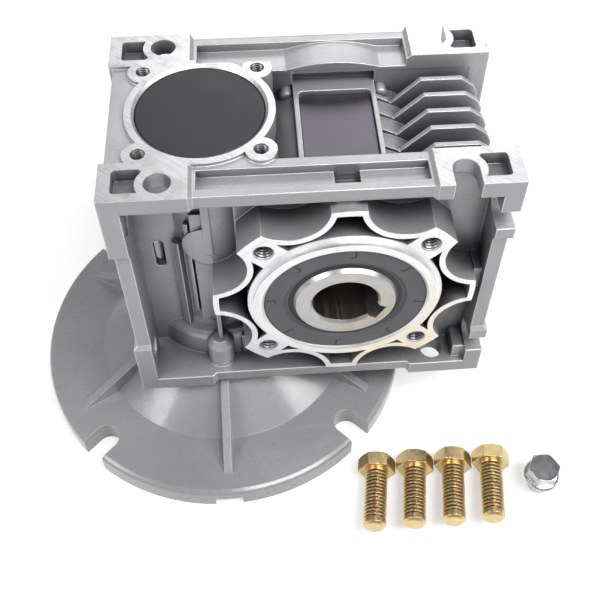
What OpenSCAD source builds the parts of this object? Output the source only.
// Right-angle worm gear reducer: a one-start worm drives a bronze wheel on a hollow
// output shaft. The motor bolts on below, foot rails stand on six sides.
// Part frame: origin at the centre of the motor flange's face, worm axis along +Z,
// output axis along Y. All sizes in millimetres.

/* [Gear set] */
// Distance from worm axis to wheel axis
centre_dist = 50; // [49.5:0.25:50.5]
// Wheel teeth, turned by a worm with one start
wheel_teeth = 100; // [80:10:100]
// Worm reference diameter
worm_d = 20; // [19:0.5:20]
// Width of the wheel rim
rim_w = 18; // [14:1:20]
// Tooth thickness at the reference circle, in modules
tooth_thick = 1.0; // [0.9:0.05:1.05]

/* [Output shaft] */
// Bore of the hollow output shaft
out_bore_d = 25; // [20:1:28]
// Output key width
out_key_w = 8; // [6:1:8]
// Key slot height above the bore wall
out_key_h = 3.3; // [2.8:0.1:3.3]
// Turn of the output key slot about the shaft
out_key_turn = -28; // [-45:1:45]
// Half length of the output shaft
out_half = 46; // [45.5:0.25:47]

/* [Housing] */
// Worm axis to the left foot face
foot_left = 34; // [33:0.5:36]
// Wheel axis to the right foot face
foot_right = 60; // [59:0.5:61]
// Wheel axis to the top and bottom faces
case_half_h = 60; // [59.5:0.25:61]
// Half width over the foot rails
case_half_w = 42.5; // [42:0.25:43]
// Thickness of the foot rails
rail_t = 7; // [6.5:0.25:7.5]
// Height of the machined pads over the cast rails
pad_step = 1.5; // [1:0.25:2]
// Length of the machined pads
pad_len = 30; // [28:0.5:32]
// Diameter of the foot holes
foot_hole_d = 9.4; // [8.5:0.1:10]
// Height of the foot holes above and below the wheel axis
foot_hole_z = 40; // [39:0.5:41]
// Distance of the foot holes from the middle plane
foot_hole_y = 35; // [34.5:0.25:35.5]

/* [Output flange] */
// Tip radius of the star-shaped flange
star_r = 50; // [49.5:0.25:50.5]
// Radius of the scallops
scallop_r = 15; // [14:0.5:15]
// Wall of the star
star_wall = 2.2; // [1.8:0.2:2.6]
// Pitch circle of the output flange threads
out_pcd = 85; // [84:0.5:86]
// Tapping drill of the output flange threads
out_tap_d = 6.8; // [6.6:0.1:7]

/* [Motor flange] */
// Outer diameter
flange_d = 165; // [163:1:167]
// Height of the motor flange from the motor face to the housing
flange_h = 32; // [31:0.5:34]
// Pilot diameter
pilot_d = 114.3; // [112:0.5:116]
// Bolt circle
motor_pcd = 149.2; // [148:0.5:150]
// Slot width for the motor bolts
motor_slot_w = 11.5; // [10.5:0.5:12]
// Bore for the motor shaft
in_bore_d = 15.875; // [14:0.125:16]
// Motor key width
in_key_w = 4.76; // [4:0.25:5]

/* [Loose hardware] */
// Thread diameter of the motor bolts
bolt_d = 9.53; // [8:0.5:10]
// Length of the motor bolts under the head
bolt_len = 25.4; // [22:1:28]
// Distance between the bolts as laid out
bolt_pitch = 16.6; // [16.6:0.1:18]

/* [Hidden] */
$fn = 96;
eps = 0.01;
// Gap between pieces pressed or slid into one another
seat_gap = 0.03;
// Running gap between a turning and a standing surface
run_gap = 0.05;
axis_z = flange_h + case_half_h;
wheel_pitch_r = centre_dist - worm_d / 2;
module_mm = 2 * wheel_pitch_r / wheel_teeth;
lead = PI * module_mm;
tooth_add = 0.9 * module_mm;
tooth_ded = 1.35 * module_mm;

// Ball bearings: bore, outside diameter, width, ball diameter, number of balls
brg_wheel = [40, 68, 15, 7.9, 12];
brg_in = [30, 55, 13, 7.1, 11];
brg_rear = [20, 42, 12, 6.3, 9];

// Output side, measured outwards from the middle plane
wheel_brg_y = 20;
wheel_seal_y = 37;
wheel_seal_w = 8;
seal_bore_r = 31;
spigot_r = seal_bore_r + 4;
ring_r = spigot_r + 2;
star_y = case_half_w + 1;
chamber_r = 43.5;
chamber_y = 21;
case_r = chamber_r + 4.5;
web_y = 25;
web_t = 3.5;
hub_r = brg_wheel[0] / 2;
scallop_c = star_r + 5.4;
lobe_half_w = 6.3;
out_tap_depth = 9;
cover_seat_y = 33.5;
cover_plate_t = 3.5;
cover_r = case_r + 4;
cover_pilot_y = 29;
cover_screw_r = 47.5;
m5_r = 2.5;
m5_head_r = 4.25;
m6_r = 3;
m6_head_r = 5;
wheel_rim_in = 33;

// Worm side, along the worm from the wheel axis
in_seat_z = -case_half_h;
in_brg_z = in_seat_z + brg_in[2];
worm_tube_r = 25;
worm_bore_r = 19;
rear_brg_z = case_half_h - 24;
rear_clip_z = rear_brg_z + brg_rear[2];
rear_clip_t = 1.75;
cap_r = 23.5;
cap_z = case_half_h - 8;
cap_t = 7;
rear_ring_r = 27.1;
in_ring_r = 31.5;
rear_ear_x = 21.1;
rear_ear_y = 21.3;
ear_neck_r = 26.4;
rear_ear_r = 5.7;
in_seal_w = 7;
in_seal_r = 23.5;
flange_screw_pos = 32.4;
flange_screws_at = [-90, 0, 90];
flange_ring_r = brg_in[1] / 2 + 0.25;
worm_len = 34;

// Housing frame
x_left = -centre_dist - foot_left;
x_right = foot_right;
rail_y = 24.9;
mid_y = case_half_w - pad_step;
mid_z = case_half_h - pad_step;
in_z = case_half_h - rail_t;
foot_hole_x = x_left + 20;
slot_x = x_right - 20;
left_web_y = 18;
left_web_t = 3.5;
fin_pitch = 8.8;
fin_t = 2;
fin_top = 54.4;
plate_boss_x = 15.6;
plate_boss_z = case_r + 0.1;
plate_w = 28;
plate_l = 40.6;
plate_deep = 2.4;
plate_t = 0.5;

// Motor flange, in the part frame
flange_plate_t = 10.4;
flange_cone_r0 = 57.2;
flange_cone_z = flange_h - 7.4;
flange_cone_r1 = 38;
pilot_h = 5;
cavity_z = flange_h - 12;
cavity_r0 = 51;
cavity_r1 = 39.5;
rib_r0 = 73.4;
rib_slope = 0.504;
rib_w = 3.6;
screw_cbore = 4;
screw_grip = cavity_z + screw_cbore;
m6_len = 20;

// Sub-part to build, or all of them

// Puts what is drawn about the wheel axis into the part frame
module at_wheel() translate([centre_dist, 0, axis_z]) children();
// Puts what is drawn about the worm, with z from the wheel axis, into the part frame
module at_worm() translate([0, 0, axis_z]) children();
// Worm axis as seen from the wheel axis
module on_worm() translate([-centre_dist, 0, 0]) children();
module both_y() for (m = [0, 1]) mirror([0, m, 0]) children();
module both_z() for (m = [0, 1]) mirror([0, 0, m]) children();
// A slab with its outline in x and z, from y0 to y1
module slab_xz(y0, y1) translate([0, y1, 0]) rotate([90, 0, 0]) linear_extrude(y1 - y0) children();
module block(x0, x1, y0, y1, z0, z1) translate([x0, y0, z0]) cube([x1 - x0, y1 - y0, z1 - z0]);
module drum(r, y0, y1) slab_xz(y0, y1) circle(r = r);
module post(r, z0, z1) translate([0, 0, z0]) cylinder(r = r, h = z1 - z0);
// A round hole with z0 to z1, a little longer at both ends
module hole(r, z0, z1) translate([0, 0, z0 - eps]) cylinder(r = r, h = z1 - z0 + 2 * eps);
// Revolved about the wheel axis: points are [radius, distance from the middle plane]
module turned_y(pts) rotate([-90, 0, 0]) rotate_extrude() polygon(pts);
module turned_z(pts) rotate_extrude() polygon(pts);

// Bearings, drawn from z = 0 to their width
function pitch_r(b) = (b[0] + b[1]) / 4;
function land(b) = 0.27 * b[3];
module race(b, r0, r1) {
  c = 0.6;
  w = b[2];
  rotate_extrude() difference() {
    polygon([[r0 + c, 0], [r1 - c, 0], [r1, c], [r1, w - c], [r1 - c, w], [r0 + c, w],
      [r0, w - c], [r0, c]]);
    translate([pitch_r(b), w / 2]) circle(r = b[3] / 2 + seat_gap);
  }
}
module outer_race(b) race(b, pitch_r(b) + land(b), b[1] / 2 - seat_gap);
module inner_race(b) race(b, b[0] / 2 + seat_gap, pitch_r(b) - land(b));
module balls(b) for (k = [0:b[4] - 1]) rotate(360 / b[4] * k)
  translate([pitch_r(b), 0, b[2] / 2]) sphere(r = b[3] / 2);
module cage(b) {
  half = b[3] * 0.62;
  wall = land(b) - 0.7;
  difference() {
    translate([0, 0, b[2] / 2 - half]) difference() {
      cylinder(r = pitch_r(b) + wall, h = 2 * half);
      hole(pitch_r(b) - wall, 0, 2 * half);
    }
    for (k = [0:b[4] - 1]) rotate(360 / b[4] * k) translate([pitch_r(b) - wall - 1, 0, b[2] / 2])
      rotate([0, 90, 0]) cylinder(r = b[3] / 2 + 0.1, h = 2 * wall + 2);
  }
}
module wheel_brg_front() at_wheel() translate([0, -wheel_brg_y, 0]) rotate([90, 0, 0]) children();
module wheel_brg_back() at_wheel() translate([0, wheel_brg_y, 0]) rotate([-90, 0, 0]) children();
module input_brg() at_worm() translate([0, 0, in_seat_z]) children();
module rear_brg() at_worm() translate([0, 0, rear_brg_z]) children();

// Foot frame: pads stand proud of the cast rails and run out in a short chamfer
module pad_arm() {
  run = pad_len + pad_step;
  intersection() {
    slab_xz(rail_y, case_half_w) polygon([[0, 0], [pad_len, 0], [run, pad_step], [run, rail_t],
      [0, rail_t]]);
    linear_extrude(rail_t) polygon([[0, rail_y], [0, case_half_w], [pad_len, case_half_w],
      [run, mid_y], [run, rail_y]]);
  }
}
module pad_corner() {
  pad_arm();
  mirror([1, 0, -1]) pad_arm();
}
module foot_frame() {
  slab_xz(rail_y, mid_y) difference() {
    translate([x_left + pad_step, -mid_z]) square([x_right - x_left - 2 * pad_step, 2 * mid_z]);
    translate([x_left + rail_t, -in_z]) square([x_right - x_left - 2 * rail_t, 2 * in_z]);
  }
  both_z() {
    translate([x_left, 0, -case_half_h]) pad_corner();
    translate([x_right, 0, -case_half_h]) mirror([1, 0, 0]) pad_corner();
  }
}
// Holes and open slots for the foot bolts of one frame
module foot_holes() {
  r = foot_hole_d / 2;
  translate([foot_hole_x, foot_hole_y, 0]) hole(r, in_z, case_half_h);
  translate([slot_x, foot_hole_y, 0]) {
    hole(r, in_z, case_half_h);
    block(-r, r, 0, case_half_w, in_z - eps, case_half_h + eps);
    hole(r, -case_half_h, -in_z);
  }
  both_z() {
    translate([x_left, foot_hole_y, foot_hole_z]) rotate([0, 90, 0]) hole(r, 0, rail_t);
    translate([x_right - rail_t, foot_hole_y, foot_hole_z]) {
      rotate([0, 90, 0]) hole(r, 0, rail_t);
      block(-eps, rail_t + eps, 0, case_half_w, -r, r);
    }
  }
}
// Drafted pockets in the pads, concentric with the bolt holes
module rounded_2d(x0, x1, y0, y1, r) {
  translate([x0 + r, y0]) square([x1 - x0 - 2 * r, y1 - y0]);
  translate([x0, y0 + r]) square([x1 - x0, y1 - y0 - 2 * r]);
  for (x = [x0 + r, x1 - r], y = [y0 + r, y1 - r]) translate([x, y]) circle(r = r);
}

module pad_pockets() both_z() {
  pocket_d = rail_t - 1.6;
  for (x = [foot_hole_x, slot_x]) translate([0, 0, case_half_h - pocket_d])
    linear_extrude(pocket_d + eps) difference() {
      out = x < 0 ? x_left + 4.5 : x_right - 4.5;
      in = x < 0 ? x - 5.6 : x + 5.6;
      rounded_2d(min(in, out), max(in, out), rail_y + 3.3, case_half_w - 3.5, 1.4);
      translate([x, foot_hole_y]) circle(r = 7.6);
    }
}
// Long shallow trough in the cast part of the top and bottom rails
module trough(y0, y1) both_z() block(x_left + pad_len + 2.5, x_right - pad_len - 2, y0, y1,
  in_z + 1.9, case_half_h);

// Star outline of the output flange, its pockets and its threads, seen along the axis
module star_2d(inset) difference() {
  circle(r = star_r - inset);
  for (k = [0:7]) rotate(22.5 + 45 * k) translate([scallop_c, 0]) circle(r = scallop_r + inset);
}
module star_body_2d() {
  difference() {
    star_2d(0);
    star_2d(star_wall);
  }
  circle(r = ring_r);
  intersection() {
    star_2d(0);
    for (k = [0:3]) rotate(45 + 90 * k) translate([0, -lobe_half_w]) square([star_r, 2 * lobe_half_w]);
  }
}
module star_threads() for (k = [0:3]) rotate([0, 45 + 90 * k, 0]) translate([out_pcd / 2, star_y, 0])
  rotate([90, 0, 0]) {
    hole(out_tap_d / 2, 0, out_tap_depth);
    translate([0, 0, -eps]) cylinder(r1 = out_tap_d / 2 + 0.6, r2 = out_tap_d / 2 - eps, h = 0.6);
  }
// Stepped bore for bearing and seal
module output_bore() {
  drum(brg_wheel[1] / 2, wheel_brg_y - 2, wheel_brg_y + brg_wheel[2]);
  drum(seal_bore_r, wheel_brg_y + brg_wheel[2] - eps, out_half + eps);
  turned_y([[0, out_half - 0.8], [seal_bore_r, out_half - 0.8], [seal_bore_r + 0.9, out_half + eps],
    [0, out_half + eps]]);
}

module fins() for (k = [-2:2]) slab_xz(k * fin_pitch - fin_t / 2, k * fin_pitch + fin_t / 2)
  polygon([[15.5, 47.4], [20.7, 44.6], [22, 43.4], [32.7, fin_top], [48.6, fin_top], [53.6, 50.6],
    [55.4, 47], [55.4, -47], [53.6, -50.6], [48.6, -fin_top], [32.7, -fin_top], [22, -43.4],
    [20.7, -44.6], [15.5, -47.4]]);

// Ribs and bosses on the worm tube, drawn for the back and mirrored to the front
module tube_rib(turn, w, r, z0, z1) on_worm() rotate(turn)
  translate([worm_tube_r - 1, -w / 2, z0]) cube([r - worm_tube_r + 1, w, z1 - z0]);
module tube_details() {
  tube_rib(138, 1.6, 27, -44, 53);
  tube_rib(118.5, 2.8, 28, -38, 15);
  tube_rib(108, 1.6, 27, -28, 27);
  tube_rib(91, 3, 28.2, 11, in_z);
  block(-56.5, -50, worm_tube_r - 2, worm_tube_r + 1.5, -33, 33);
  intersection() {
    slab_xz(18, rail_y + 3) {
      translate([-centre_dist, 15.5]) circle(r = 10.5);
      translate([-centre_dist, 15.5]) square([10.5, in_z - 15.5]);
    }
    on_worm() post(worm_tube_r + 2.8, 0, in_z);
  }
  translate([-centre_dist, flange_screw_pos, 0]) {
    post(5.6, -in_z - 1, -41);
    translate([0, 0, -41]) cylinder(r1 = 5.6, r2 = 3.2, h = 3);
  }
  block(-50.4, -48.8, worm_tube_r - 1, flange_screw_pos, -40, -19);
  block(-41, -39.4, 20, 31, -in_z - 1, -41);
}
module rear_ears() {
  for (sx = [-1, 1]) {
    z0 = sx < 0 ? in_z - 1 : in_z - 10;
    on_worm() translate([sx * rear_ear_x, rear_ear_y, 0]) post(rear_ear_r, z0, case_half_h);
    on_worm() rotate(sx < 0 ? 135 : 45) translate([rear_ring_r - 2.4, -4.3, z0 + 0.6])
      cube([ear_neck_r - rear_ring_r + 2.4, 8.6, case_half_h - z0 - 0.6]);
  }
  block(-centre_dist - rear_ear_x - 3, -centre_dist - 3, rear_ear_y - 1, rail_y + 1, in_z,
    case_half_h);
}
module left_web() slab_xz(left_web_y, left_web_y + left_web_t) difference() {
  translate([x_left + rail_t - 1, -in_z - 1]) square([foot_left - 12, 2 * in_z + 2]);
  translate([-72, 0]) square([4, 11.5]);
  for (z = [0, 11.5]) translate([-70, z]) circle(r = 2);
}
module end_plates() both_z() block(x_left + pad_step, -centre_dist + 20, -rail_y - 1, rail_y + 1,
  in_z, mid_z);
module bearing_rings() on_worm() {
  post(worm_tube_r, -in_z, in_z);
  post(rear_ring_r, in_z - 3, case_half_h);
  turned_z([[0, in_seat_z], [in_ring_r + 1.5, in_seat_z], [in_ring_r + 1.5, -in_z],
    [in_ring_r, -in_z], [in_ring_r - 0.6, -43], [30.2, -41], [29, -39.6], [27.4, -39], [26, -38.4],
    [25.3, -37.4], [worm_tube_r, -35.5], [0, -35.5]]);
}
module back_drum() drum(cover_r, web_y, cover_seat_y);
module front_drum() mirror([0, 1, 0]) {
  slab_xz(web_y, star_y) star_body_2d();
  drum(spigot_r, star_y - 1, out_half);
  drum(ring_r, wheel_brg_y, star_y);
}
module boss_plate() both_z() block(-plate_boss_x, plate_boss_x + 0.4, -web_y, web_y, 38, plate_boss_z);
module case_webs() both_y() slab_xz(web_y, web_y + web_t) difference() {
  translate([-40, -in_z - 1]) square([x_right - rail_t + 41, 2 * in_z + 2]);
  star_2d(0);
}
module right_ribs() {
  mirror([0, 1, 0]) block(49.9, x_right - rail_t + 1, web_y, case_half_w - 4.5, -5, 6.6);
  block(cover_r + 0.4, x_right - rail_t + 1, rail_y - 1, case_half_w - 4.5, -5, 6.6);
  both_y() block(48, x_right - rail_t + 1, web_y, case_half_w - 3, -in_z - 1,
    -foot_hole_z - foot_hole_d / 2 - 0.8);
}
module chamber() {
  drum(chamber_r, -chamber_y, chamber_y);
  drum(chamber_r, 0, cover_seat_y + 1);
  mirror([0, 1, 0]) output_bore();
  on_worm() {
    hole(brg_in[1] / 2, in_seat_z, in_brg_z);
    hole(worm_bore_r, in_seat_z, case_half_h);
    hole(brg_rear[1] / 2, rear_brg_z, case_half_h);
    hole(brg_rear[1] / 2 + 1.25, rear_clip_z, rear_clip_z + rear_clip_t);
    hole(cap_r, cap_z - 1.2, case_half_h);
    translate([0, 0, case_half_h - 1]) cylinder(r1 = cap_r, r2 = cap_r + 1 + eps, h = 1 + eps);
  }
}
module housing() color("silver") at_wheel() difference() {
  union() {
    both_y() {
      foot_frame();
      left_web();
      tube_details();
      rear_ears();
    }
    end_plates();
    bearing_rings();
    drum(case_r, -web_y, web_y);
    case_webs();
    right_ribs();
    boss_plate();
    fins();
    back_drum();
    front_drum();
    translate([flange_screw_pos - centre_dist, 0, 0]) post(5.6, in_seat_z, -40);
  }
  chamber();
  both_y() {
    foot_holes();
    pad_pockets();
  }
  mirror([0, 1, 0]) trough(28.8, 37.6);
  difference() {
    trough(rail_y, 37.3);
    drum(57.8, rail_y - 1, 38);
  }
  mirror([0, 1, 0]) both_z() block(-4.5, 4.5, 28.8, 37.6, in_z - eps, case_half_h);
  star_cut();
  both_y() both_z() block(-plate_boss_x, plate_boss_x + 0.4, web_y - eps, web_y + 3,
    plate_boss_z, in_z + 1.5);
  translate([0, 0, plate_boss_z - plate_deep]) linear_extrude(plate_deep + eps)
    plate_2d(0);
  back_screws() hole(m5_r + seat_gap, 0, 12);
  flange_holes() hole(m6_r + seat_gap, 0, m6_len - screw_grip + cavity_z - 4);
  both_y() for (sx = [-1, 1]) on_worm() translate([sx * rear_ear_x, rear_ear_y, case_half_h - 14])
    hole(2.6, 0, 14);
}
// Pockets between star wall and bearing ring, and the threads
module star_cut() mirror([0, 1, 0]) star_threads();
module plate_2d(inset) {
  w = plate_w / 2 - inset;
  l = plate_l / 2 - inset;
  translate([0.3, 0]) difference() {
    square([2 * w, 2 * l], center = true);
    for (sx = [-1, 1], sy = [-1, 1]) translate([sx * w, sy * l]) difference() {
      square(4, center = true);
      translate([-sx * 2, -sy * 2]) circle(r = 2);
    }
  }
}
// Places of the cover screws, z into the housing from the cover's seat
module back_screws() for (k = [0:7]) rotate([0, 22.5 + 45 * k, 0])
  translate([cover_screw_r, cover_seat_y, 0]) rotate([90, 0, 0]) children();
// Places of the flange screws, z up into the housing from its seat
module flange_holes() for (a = flange_screws_at) on_worm() rotate(a)
  translate([flange_screw_pos, 0, in_seat_z]) children();

module side_cover() color("silver") at_wheel() difference() {
  union() {
    drum(cover_r, cover_seat_y, cover_seat_y + cover_plate_t);
    drum(chamber_r - seat_gap, cover_pilot_y, cover_seat_y + eps);
    drum(ring_r, wheel_brg_y, star_y);
    slab_xz(cover_seat_y, star_y) star_body_2d();
    drum(spigot_r, star_y - 1, out_half);
  }
  output_bore();
  star_threads();
  back_screws() {
    hole(m5_r + 0.25, -cover_plate_t, 0);
    translate([0, 0, -cover_plate_t - 7]) cylinder(r = m5_head_r + 0.3, h = 7);
  }
  turned_y([[chamber_r - 1.3, cover_pilot_y + 1.5], [chamber_r + 1, cover_pilot_y + 1.5],
    [chamber_r + 1, cover_pilot_y + 3.3], [chamber_r - 1.3, cover_pilot_y + 3.3]]);
}
module cover_screws() color("dimgray") at_wheel() back_screws() difference() {
  union() {
    translate([0, 0, -cover_plate_t - 5]) cylinder(r = m5_head_r, h = 5);
    post(m5_r, -cover_plate_t - eps, 10);
  }
  translate([0, 0, -cover_plate_t - 5 - eps]) cylinder(r = 2.3, h = 2.6, $fn = 6);
}
module cover_oring() color("black") at_wheel() turned_y([
  [chamber_r - 1.25, cover_pilot_y + 1.9], [chamber_r - 0.9, cover_pilot_y + 1.55],
  [chamber_r - 0.3, cover_pilot_y + 1.55], [chamber_r - 0.02, cover_pilot_y + 1.9],
  [chamber_r - 0.02, cover_pilot_y + 2.9], [chamber_r - 0.3, cover_pilot_y + 3.25],
  [chamber_r - 0.9, cover_pilot_y + 3.25], [chamber_r - 1.25, cover_pilot_y + 2.9]]);

module flange_body() {
  turned_z([[0, 0], [flange_d / 2, 0], [flange_d / 2, flange_plate_t - 2],
    [flange_d / 2 - 0.6, flange_plate_t - 0.6], [flange_d / 2 - 2, flange_plate_t],
    [flange_cone_r0, flange_plate_t], [flange_cone_r1, flange_cone_z], [flange_cone_r1, flange_h],
    [0, flange_h]]);
  for (k = [0:5]) rotate(30 + 60 * k) rotate([90, 0, 0]) translate([0, 0, -rib_w / 2])
    linear_extrude(rib_w) polygon([[30.5, flange_plate_t - 1], [rib_r0 + 1, flange_plate_t - 1],
      [rib_r0, flange_plate_t + 0.3], [rib_r0 - (flange_h - flange_plate_t) / rib_slope, flange_h],
      [30.5, flange_h]]);
}
module input_flange() color("gray") difference() {
  flange_body();
  turned_z([[0, -eps], [pilot_d / 2 + 0.5, -eps], [pilot_d / 2, 0.5], [pilot_d / 2, pilot_h],
    [cavity_r0, pilot_h], [cavity_r1, cavity_z], [0, cavity_z]]);
  hole(20, cavity_z - 1, flange_h);
  hole(in_seal_r, flange_h - in_seal_w, flange_h);
  for (k = [0:3]) rotate(45 + 90 * k) translate([motor_pcd / 2, 0, 0]) {
    hole(motor_slot_w / 2, 0, flange_plate_t + 1);
    block(0, flange_d, -motor_slot_w / 2, motor_slot_w / 2, -eps, flange_plate_t + 1);
  }
  block(-5.85, 5.85, -flange_d, -pilot_d / 2 + 1, -eps, pilot_h);
  for (a = flange_screws_at) rotate(a) translate([flange_screw_pos, 0, 0]) {
    hole(m6_r + 0.3, cavity_z, flange_h);
    hole(m6_head_r + 0.4, cavity_z, screw_grip);
  }
  turned_z([[flange_ring_r, flange_h - 1.1], [flange_ring_r + 1.1, flange_h - 1.1],
    [flange_ring_r + 1.1, flange_h + eps], [flange_ring_r, flange_h + eps]]);
}
module flange_oring() color("black") translate([0, 0, flange_h]) turned_z([
  [flange_ring_r + 0.05, -0.8], [flange_ring_r + 0.3, -1.05], [flange_ring_r + 0.8, -1.05],
  [flange_ring_r + 1.05, -0.8], [flange_ring_r + 1.05, -0.3], [flange_ring_r + 0.8, -0.02],
  [flange_ring_r + 0.3, -0.02], [flange_ring_r + 0.05, -0.3]]);
module flange_screws() color("dimgray") for (a = flange_screws_at) rotate(a)
  translate([flange_screw_pos, 0, screw_grip]) difference() {
    union() {
      post(m6_head_r, -6, 0);
      post(m6_r, -eps, m6_len);
    }
    translate([0, 0, -6 - eps]) cylinder(r = 2.9, h = 3, $fn = 6);
  }
module end_cap() color([0.1, 0.1, 0.1]) at_worm() turned_z([[0, cap_z + 1.2],
  [cap_r - 2.5, cap_z + 1.2], [cap_r - 2.5, cap_z], [cap_r - 0.8, cap_z],
  [cap_r - seat_gap, cap_z + 0.8], [cap_r - seat_gap, cap_z + cap_t - 0.6],
  [cap_r - 0.6, cap_z + cap_t], [0, cap_z + cap_t]]);
module snap_ring(r_in, r_out, t, gap) linear_extrude(t) difference() {
  circle(r = r_out);
  circle(r = r_in);
  rotate(90) translate([0, -gap / 2]) square([r_out + 1, gap]);
}
module rear_circlip() color("dimgray") at_worm() translate([0, 0, rear_clip_z + 0.02])
  snap_ring(brg_rear[1] / 2 - 3, brg_rear[1] / 2 + 1.2, rear_clip_t - 0.04, 9);
module nameplate() color([0.25, 0.27, 0.3]) at_wheel()
  translate([0, 0, plate_boss_z - plate_deep]) linear_extrude(plate_t) plate_2d(0.3);

// Shaft seal from z = 0 outwards: case, spring lip and dust lip
module shaft_seal(r_in, r_out, w) turned_z([[r_in, w * 0.55], [r_in + 1.2, w * 0.4],
  [r_in + 1.2, 0], [r_in + 3, 0], [r_in + 3, w - 2], [r_out - 2, w - 2], [r_out - 2, 0.6],
  [r_out - 0.6, 0], [r_out, 0.6], [r_out, w - 0.4], [r_out - 0.4, w], [r_in + 3.6, w],
  [r_in + 2.8, w - 1], [r_in + 1.4, w - 1], [r_in, w - 0.6]]);
module output_seal() translate([0, -wheel_seal_y, 0]) rotate([90, 0, 0])
  shaft_seal(hub_r + run_gap, seal_bore_r - seat_gap, wheel_seal_w);
module output_seal_front() color("dimgray") at_wheel() output_seal();
module output_seal_back() color("dimgray") at_wheel() mirror([0, 1, 0]) output_seal();
module input_seal() color("dimgray") translate([0, 0, flange_h - in_seal_w])
  shaft_seal(brg_in[0] / 2 + run_gap, in_seal_r - seat_gap, in_seal_w);

module wheel_bearing_front_outer() color("lightsteelblue") wheel_brg_front() outer_race(brg_wheel);
module wheel_bearing_front_inner() color("lightsteelblue") wheel_brg_front() inner_race(brg_wheel);
module wheel_bearing_front_balls() color("white") wheel_brg_front() balls(brg_wheel);
module wheel_bearing_front_cage() color("goldenrod") wheel_brg_front() cage(brg_wheel);
module wheel_bearing_back_outer() color("lightsteelblue") wheel_brg_back() outer_race(brg_wheel);
module wheel_bearing_back_inner() color("lightsteelblue") wheel_brg_back() inner_race(brg_wheel);
module wheel_bearing_back_balls() color("white") wheel_brg_back() balls(brg_wheel);
module wheel_bearing_back_cage() color("goldenrod") wheel_brg_back() cage(brg_wheel);
module input_bearing_outer() color("lightsteelblue") input_brg() outer_race(brg_in);
module input_bearing_inner() color("lightsteelblue") input_brg() inner_race(brg_in);
module input_bearing_balls() color("white") input_brg() balls(brg_in);
module input_bearing_cage() color("goldenrod") input_brg() cage(brg_in);
module rear_bearing_outer() color("lightsteelblue") rear_brg() outer_race(brg_rear);
module rear_bearing_inner() color("lightsteelblue") rear_brg() inner_race(brg_rear);
module rear_bearing_balls() color("white") rear_brg() balls(brg_rear);
module rear_bearing_cage() color("goldenrod") rear_brg() cage(brg_rear);

module output_shaft() color("silver") at_wheel() difference() {
  union() {
    turned_y([[0, -out_half], [hub_r - 1, -out_half], [hub_r, -out_half + 1.6],
      [hub_r, -wheel_brg_y], [hub_r + 5, -wheel_brg_y], [hub_r + 5, wheel_brg_y],
      [hub_r, wheel_brg_y], [hub_r, out_half - 1.6], [hub_r - 1, out_half], [0, out_half]]);
    drum(wheel_rim_in - seat_gap, -rim_w / 2, rim_w / 2);
    drum(wheel_rim_in + 2.2, rim_w / 2, rim_w / 2 + 3);
  }
  drum(out_bore_d / 2, -out_half - eps, out_half + eps);
  both_y() turned_y([[0, out_half - 1], [out_bore_d / 2, out_half - 1],
    [out_bore_d / 2 + 1, out_half + eps], [0, out_half + eps]]);
  rotate([0, -out_key_turn, 0]) block(0, out_bore_d / 2 + out_key_h, -out_half - eps,
    out_half + eps, -out_key_w / 2, out_key_w / 2);
}

// Teeth outline: straight flanks, thinner towards the tip
tip_cap_r = wheel_pitch_r + 1.75 * module_mm;
root_r = wheel_pitch_r - tooth_ded;
function half_turn(r) = (tooth_thick * module_mm / 2 - (r - wheel_pitch_r) * 0.17) / r * 180 / PI;
function tooth_pts(a) = [
  [root_r, a - half_turn(root_r)], [tip_cap_r, a - half_turn(tip_cap_r)],
  [tip_cap_r, a + half_turn(tip_cap_r)], [root_r, a + half_turn(root_r)]];
module wheel_2d() polygon([for (k = [0:wheel_teeth - 1], p = tooth_pts(180 + 360 / wheel_teeth * k))
  [p[0] * cos(p[1]), p[0] * sin(p[1])]]);
module worm_wheel_rim() color("peru") at_wheel() difference() {
  slab_xz(-rim_w / 2, rim_w / 2) difference() {
    wheel_2d();
    circle(r = wheel_rim_in);
  }
  rotate([90, 0, 0]) rotate_extrude() translate([centre_dist, 0])
    circle(r = worm_d / 2 - tooth_add);
}

// One-start thread: the outline across the worm is turned once per lead
worm_tip_r = worm_d / 2 + tooth_add;
worm_root_r = worm_d / 2 - tooth_ded;
half_pitch_t = tooth_thick / PI * 180;
half_tip_t = half_pitch_t - 0.25 * 0.9 * 360 / PI;
half_root_t = half_pitch_t + 0.25 * 1.35 * 360 / PI;
module worm_2d() polygon(concat(
  [for (a = [-1, -0.33, 0.33, 1]) worm_tip_r * [cos(a * half_tip_t), sin(a * half_tip_t)]],
  [for (k = [0:10]) let (a = half_root_t + (360 - 2 * half_root_t) * k / 10)
    worm_root_r * [cos(a), sin(a)]]));
worm_turns = worm_len / lead;
thread_slices = 12;
module worm_shaft() color("lightgray") at_worm() {
  difference() {
    turned_z([[0, in_seat_z - 22], [14, in_seat_z - 22], [15, in_seat_z - 21], [15, in_brg_z],
      [17.5, in_brg_z], [17.5, in_brg_z + 3], [13, in_brg_z + 7], [13, -34],
      [worm_root_r - 0.3, -27], [worm_root_r - 0.3, 27], [10, 29], [12.5, 31],
      [12.5, rear_brg_z], [10, rear_brg_z], [10, cap_z - 1.2], [9.2, cap_z - 0.4], [0, cap_z - 0.4]]);
    hole(in_bore_d / 2, in_seat_z - 22, -38);
    block(0, in_bore_d / 2 + 2.1, -in_key_w / 2, in_key_w / 2, in_seat_z - 22 - eps, -42);
    translate([0, 0, rear_clip_z]) rotate_extrude() translate([9.5, 0]) square([2, 1.3]);
  }
  translate([0, 0, -worm_len / 2]) rotate(worm_phase) linear_extrude(worm_len,
    twist = -360 * worm_turns, slices = round(worm_turns * thread_slices), $fn = 15) worm_2d();
}
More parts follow.
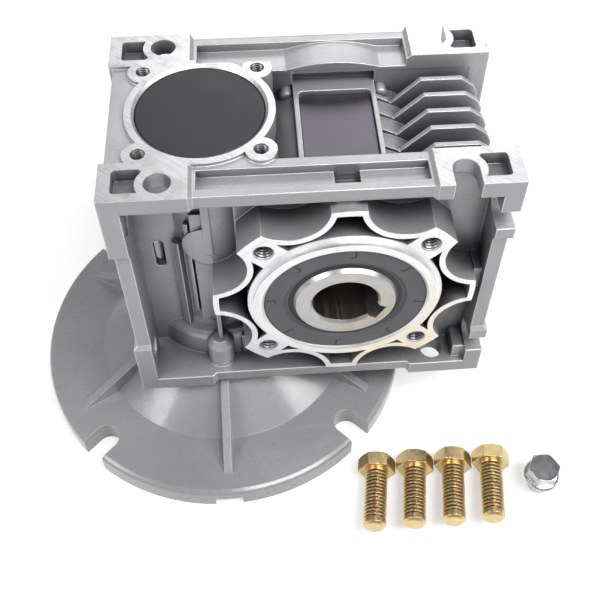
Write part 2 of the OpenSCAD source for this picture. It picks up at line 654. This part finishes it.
// A wheel tooth points at the worm, so the thread is half a pitch away there
worm_phase = 180 - 360 * worm_turns / 2;
module worm_circlip() color("dimgray") at_worm() translate([0, 0, rear_clip_z + 0.03])
  snap_ring(9.55, 11.6, 1.2, 5);

// Hexagon bolt, axis along z from the head's end face
head_h = 6;
head_af = bolt_d * 1.47;
thread_pitch = 1.5875;
module bolt() {
  n = floor((bolt_len - 2) / thread_pitch);
  intersection() {
    cylinder(r = head_af / sqrt(3), h = head_h, $fn = 6);
    turned_z([[0, 0], [head_af / 2, 0], [head_af / 2 + 1.6, 0.9], [head_af / 2 + 1.6, head_h],
      [0, head_h]]);
  }
  turned_z(concat([[0, head_h - eps], [bolt_d / 2, head_h - eps]],
    [for (k = [0:n - 1], p = [[0, 0.9], [-0.85, 1.25], [-0.85, 1.4], [0, 1.75]])
      [bolt_d / 2 + p[0], head_h + k * thread_pitch + p[1]]],
    [[bolt_d / 2, head_h + bolt_len - 1], [bolt_d / 2 - 1, head_h + bolt_len],
      [0, head_h + bolt_len]]));
}
// A bolt lies on the edge of its head and the tip of its thread
bolt_tilt = atan((head_af - bolt_d) / 2 / bolt_len);
module motor_bolts() color("gold") for (k = [0:3]) translate([64.2 + k * bolt_pitch, -71.3, 0])
  rotate(-9) rotate([-bolt_tilt, 0, 0]) translate([0, 0, head_af / 2 + head_h * tan(bolt_tilt)])
  rotate([90, 0, 0]) bolt();
module blanking_plug() color("silver") translate([134, -83, 0]) {
  turned_z([[0, 0], [4, 0], [5, 1], [5, 7], [4.4, 7.6], [4.4, 8], [7.5, 8], [7.5, 9], [7, 9.6],
    [0, 9.6]]);
  intersection() {
    post(12 / sqrt(3), 9.5, 15.5, $fn = 6);
    turned_z([[0, 9], [7.2, 9], [7.2, 14.9], [6, 15.5], [0, 15.5]]);
  }
}

housing();
side_cover();
cover_screws();
cover_oring();
input_flange();
flange_screws();
flange_oring();
end_cap();
rear_circlip();
nameplate();
input_seal();
output_seal_front();
output_seal_back();
wheel_bearing_front_outer();
wheel_bearing_front_inner();
wheel_bearing_front_balls();
wheel_bearing_front_cage();
wheel_bearing_back_outer();
wheel_bearing_back_inner();
wheel_bearing_back_balls();
wheel_bearing_back_cage();
input_bearing_outer();
input_bearing_inner();
input_bearing_balls();
input_bearing_cage();
rear_bearing_outer();
rear_bearing_inner();
rear_bearing_balls();
rear_bearing_cage();
output_shaft();
worm_wheel_rim();
worm_shaft();
worm_circlip();
motor_bolts();
blanking_plug();
